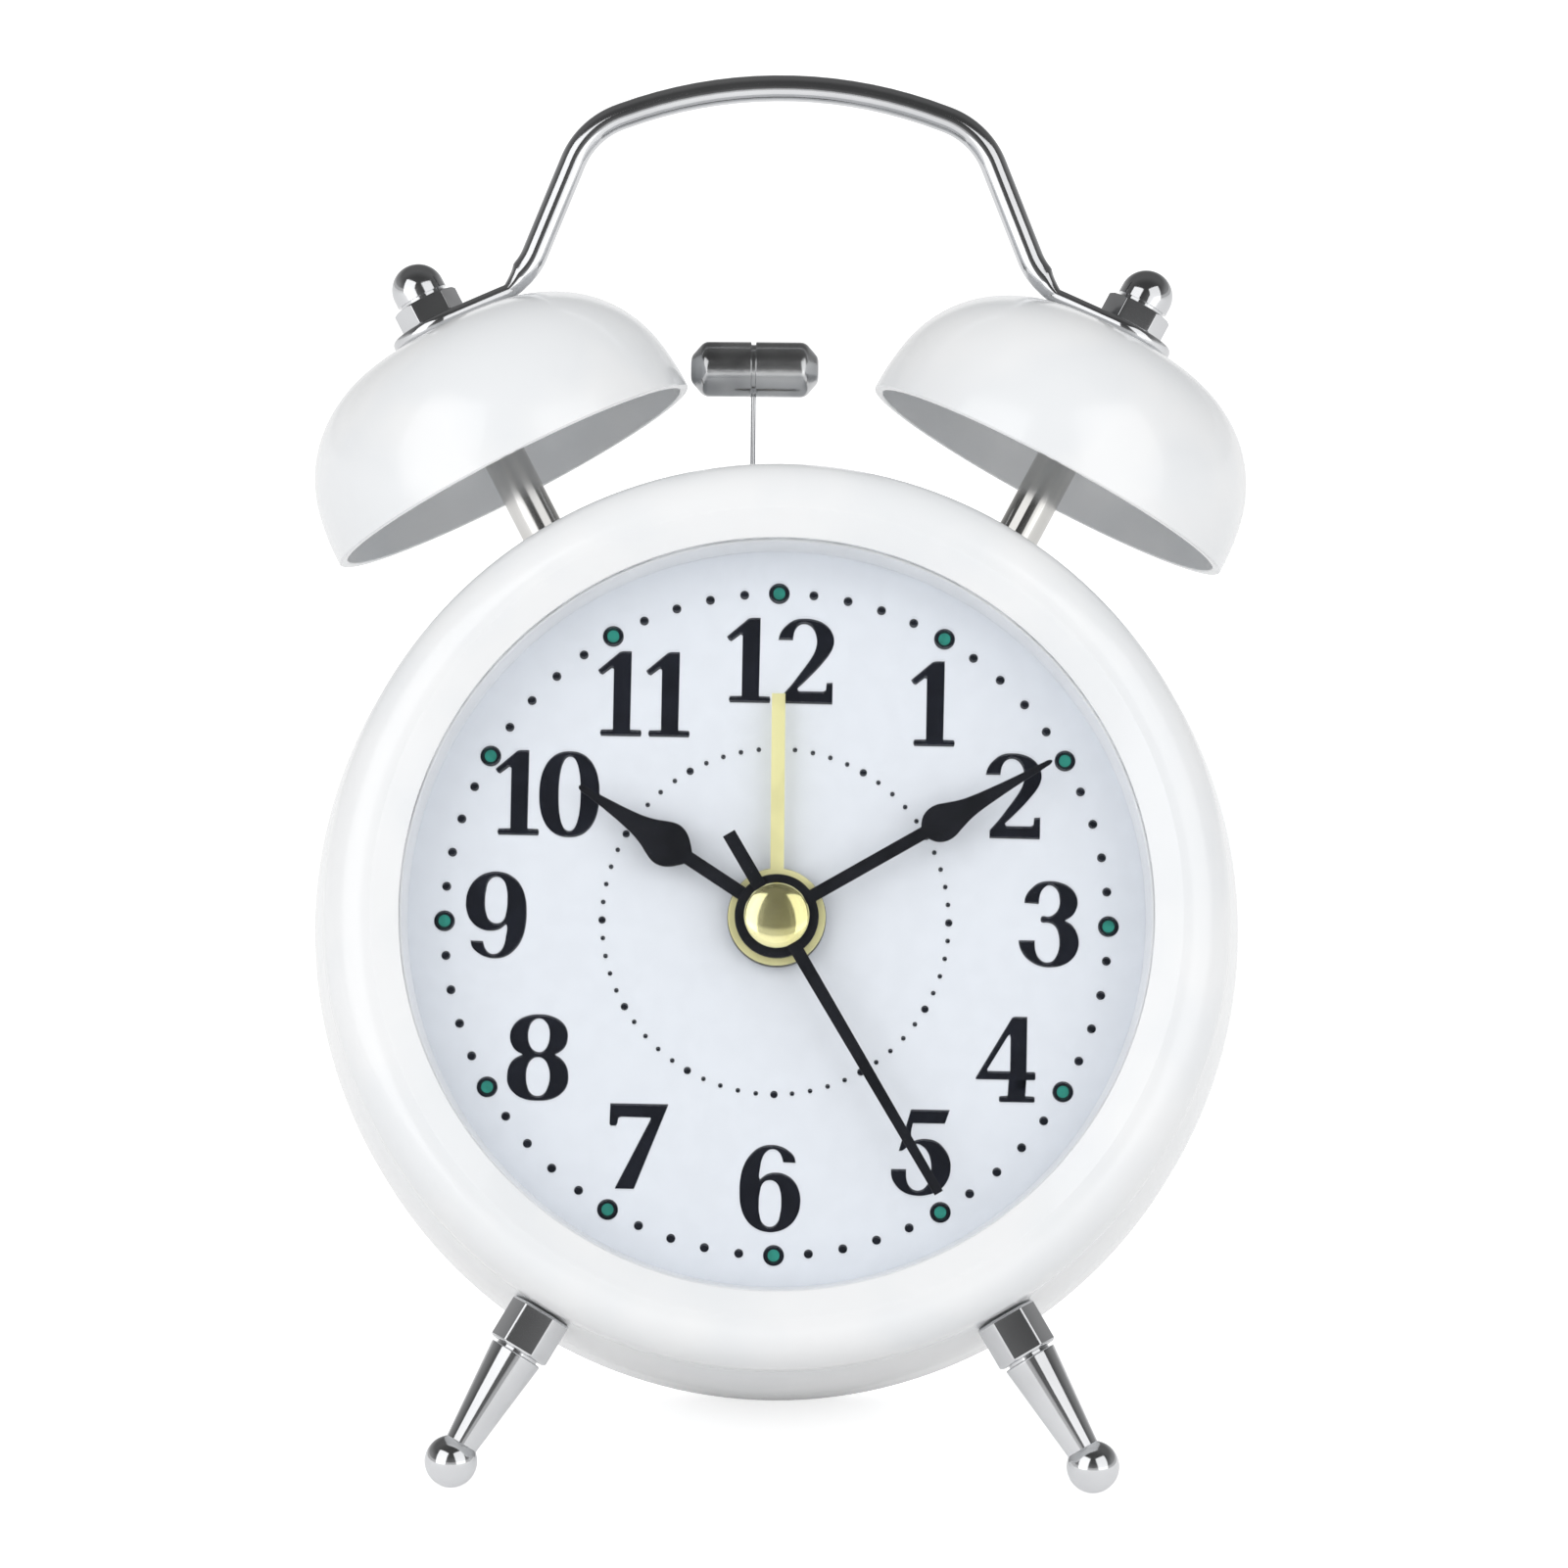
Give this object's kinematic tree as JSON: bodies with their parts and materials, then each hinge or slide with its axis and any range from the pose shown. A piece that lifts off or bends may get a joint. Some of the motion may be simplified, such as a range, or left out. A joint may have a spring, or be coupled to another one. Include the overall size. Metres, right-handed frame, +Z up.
{
  "type": "twin bell alarm clock",
  "caption": "Round white twin bell alarm clock on splayed ball feet, with a wire carrying handle and a hammer between the bells.",
  "frame": {"origin": "on the surface it stands on, under the middle of its box", "axes": "+Z up, the dial faces -Y and leans back, +X to the right of the dial"},
  "size_m": [0.0838, 0.0644, 0.1179],
  "materials": {
    "white_enamel": "gloss baked enamel on pressed steel",
    "white_plastic": "moulded, satin",
    "clear_lens": "flat, clear",
    "dial_card": "printed matt blueish white with black numerals",
    "chrome_wire": "bright plated",
    "chrome_turned": "turned and bright plated",
    "steel_post": "drawn",
    "zinc_steel": "zinc plated",
    "spring_steel": "drawn wire and strip",
    "fibre_washer": "red fibre",
    "brass_part": "machined",
    "black_plastic": "moulded, fine grain",
    "clear_white_plastic": "natural acetal",
    "board_green": "solder mask",
    "copper_winding": "enamelled copper wire",
    "cell_jacket": "plain printed jacket",
    "black_hand": "matt black",
    "gold_hand": "pale gold lacquer"
  },
  "bodies": {
    "case": {"case_shell": "white_enamel", "bezel": "white_enamel", "lens": "clear_lens", "surround_ring": "white_plastic", "dial": "dial_card", "inner_frame": "white_plastic", "rear_cover": "white_plastic", "cover_screws": "zinc_steel", "bracket_screws": "zinc_steel", "battery": "cell_jacket", "contact_positive": "spring_steel", "contact_negative": "spring_steel", "bell_left": "white_enamel", "bell_post_left": "steel_post", "bell_right": "white_enamel", "bell_post_right": "steel_post", "post_nuts": "zinc_steel", "bell_washers": "fibre_washer", "acorn_nuts": "chrome_turned", "handle": "chrome_wire", "foot_left": "chrome_turned", "foot_right": "chrome_turned", "foot_nuts": "zinc_steel", "striker_bracket": "zinc_steel", "magnet_core": "zinc_steel", "magnet_coil": "copper_winding", "hammer_pin": "zinc_steel", "movement_case": "black_plastic", "dial_nut": "brass_part", "movement_bridge": "clear_white_plastic", "movement_cover": "black_plastic", "movement_screws": "zinc_steel", "circuit_board": "board_green", "crystal_can": "zinc_steel", "stator": "zinc_steel", "stator_coil": "copper_winding"},
    "time_setter": {"time_set_knob": "black_plastic", "motion_wheel": "clear_white_plastic"},
    "minute_train": {"cannon_pinion": "brass_part", "minute_hand": "black_hand"},
    "hour_train": {"hour_wheel": "brass_part", "hour_hand": "black_hand"},
    "alarm_setter": {"alarm_set_knob": "black_plastic", "alarm_pinion": "clear_white_plastic"},
    "alarm_train": {"alarm_wheel": "brass_part", "alarm_hand": "gold_hand"},
    "second_train": {"second_wheel": "brass_part", "second_hand": "black_hand", "hand_cap": "gold_hand"},
    "fifth_wheel": {"fifth_wheel": "clear_white_plastic"},
    "rotor": {"rotor": "clear_white_plastic"},
    "third_wheel": {"third_wheel": "clear_white_plastic"},
    "centre_wheel": {"centre_wheel": "clear_white_plastic"},
    "hammer": {"hammer_head": "chrome_turned", "hammer_stem": "spring_steel", "hammer_lever": "brass_part", "armature": "zinc_steel"},
    "alarm_switch": {"alarm_switch": "black_plastic"},
    "battery_door": {"battery_door": "white_plastic"}
  },
  "joints": [
    {"name": "time_set_turn", "type": "hinge", "parent": "case", "child": "time_setter", "pos_m": [0.01039, 0.00299, 0.04998], "axis": [0, 0.9483, -0.3173], "continuous": true},
    {"name": "minute_turn", "type": "hinge", "parent": "case", "child": "minute_train", "pos_m": [0, 0.00109, 0.04429], "axis": [0, 0.9483, -0.3173], "continuous": true},
    {"name": "hour_turn", "type": "hinge", "parent": "case", "child": "hour_train", "pos_m": [0, 0.00109, 0.04429], "axis": [0, 0.9483, -0.3173], "continuous": true},
    {"name": "alarm_set_turn", "type": "hinge", "parent": "case", "child": "alarm_setter", "pos_m": [-0.01039, 0.00299, 0.04998], "axis": [0, 0.9483, -0.3173], "continuous": true},
    {"name": "alarm_turn", "type": "hinge", "parent": "case", "child": "alarm_train", "pos_m": [0, 0.00109, 0.04429], "axis": [0, 0.9483, -0.3173], "continuous": true},
    {"name": "second_turn", "type": "hinge", "parent": "case", "child": "second_train", "pos_m": [0, 0.00109, 0.04429], "axis": [0, 0.9483, -0.3173], "continuous": true},
    {"name": "fifth_turn", "type": "hinge", "parent": "case", "child": "fifth_wheel", "pos_m": [0, 0.00383, 0.05248], "axis": [0, 0.9483, -0.3173], "continuous": true},
    {"name": "rotor_turn", "type": "hinge", "parent": "case", "child": "rotor", "pos_m": [0, 0.0065, 0.06045], "axis": [0, 0.9483, -0.3173], "continuous": true},
    {"name": "third_turn", "type": "hinge", "parent": "case", "child": "third_wheel", "pos_m": [0, -0.00167, 0.03604], "axis": [0, 0.9483, -0.3173], "continuous": true},
    {"name": "centre_turn", "type": "hinge", "parent": "case", "child": "centre_wheel", "pos_m": [0, 0.00109, 0.04429], "axis": [0, 0.9483, -0.3173], "continuous": true},
    {"name": "hammer_swing", "type": "hinge", "parent": "case", "child": "hammer", "pos_m": [0, 0.00953, 0.06888], "axis": [0, 0.9483, -0.3173], "range_deg": [0, 10.94], "stiffness_Nm_per_rad": 0.0004, "springref_deg": -11.46},
    {"name": "switch_slide", "type": "slide", "parent": "case", "child": "alarm_switch", "axis": [1, 0, 0], "range_m": [0, 0.004]},
    {"name": "door_release", "type": "slide", "parent": "case", "child": "battery_door", "axis": [0, 0.9483, -0.3173], "range_m": [0, 0.02]}
  ],
  "couplings": [
    {"joint": "minute_turn", "follows": "time_set_turn", "ratio": -3},
    {"joint": "hour_turn", "follows": "time_set_turn", "ratio": -0.25},
    {"joint": "alarm_turn", "follows": "alarm_set_turn", "ratio": -0.25},
    {"joint": "fifth_turn", "follows": "second_turn", "ratio": -5},
    {"joint": "rotor_turn", "follows": "second_turn", "ratio": 30},
    {"joint": "third_turn", "follows": "second_turn", "ratio": -0.13333},
    {"joint": "centre_turn", "follows": "second_turn", "ratio": 0.016667}
  ]
}
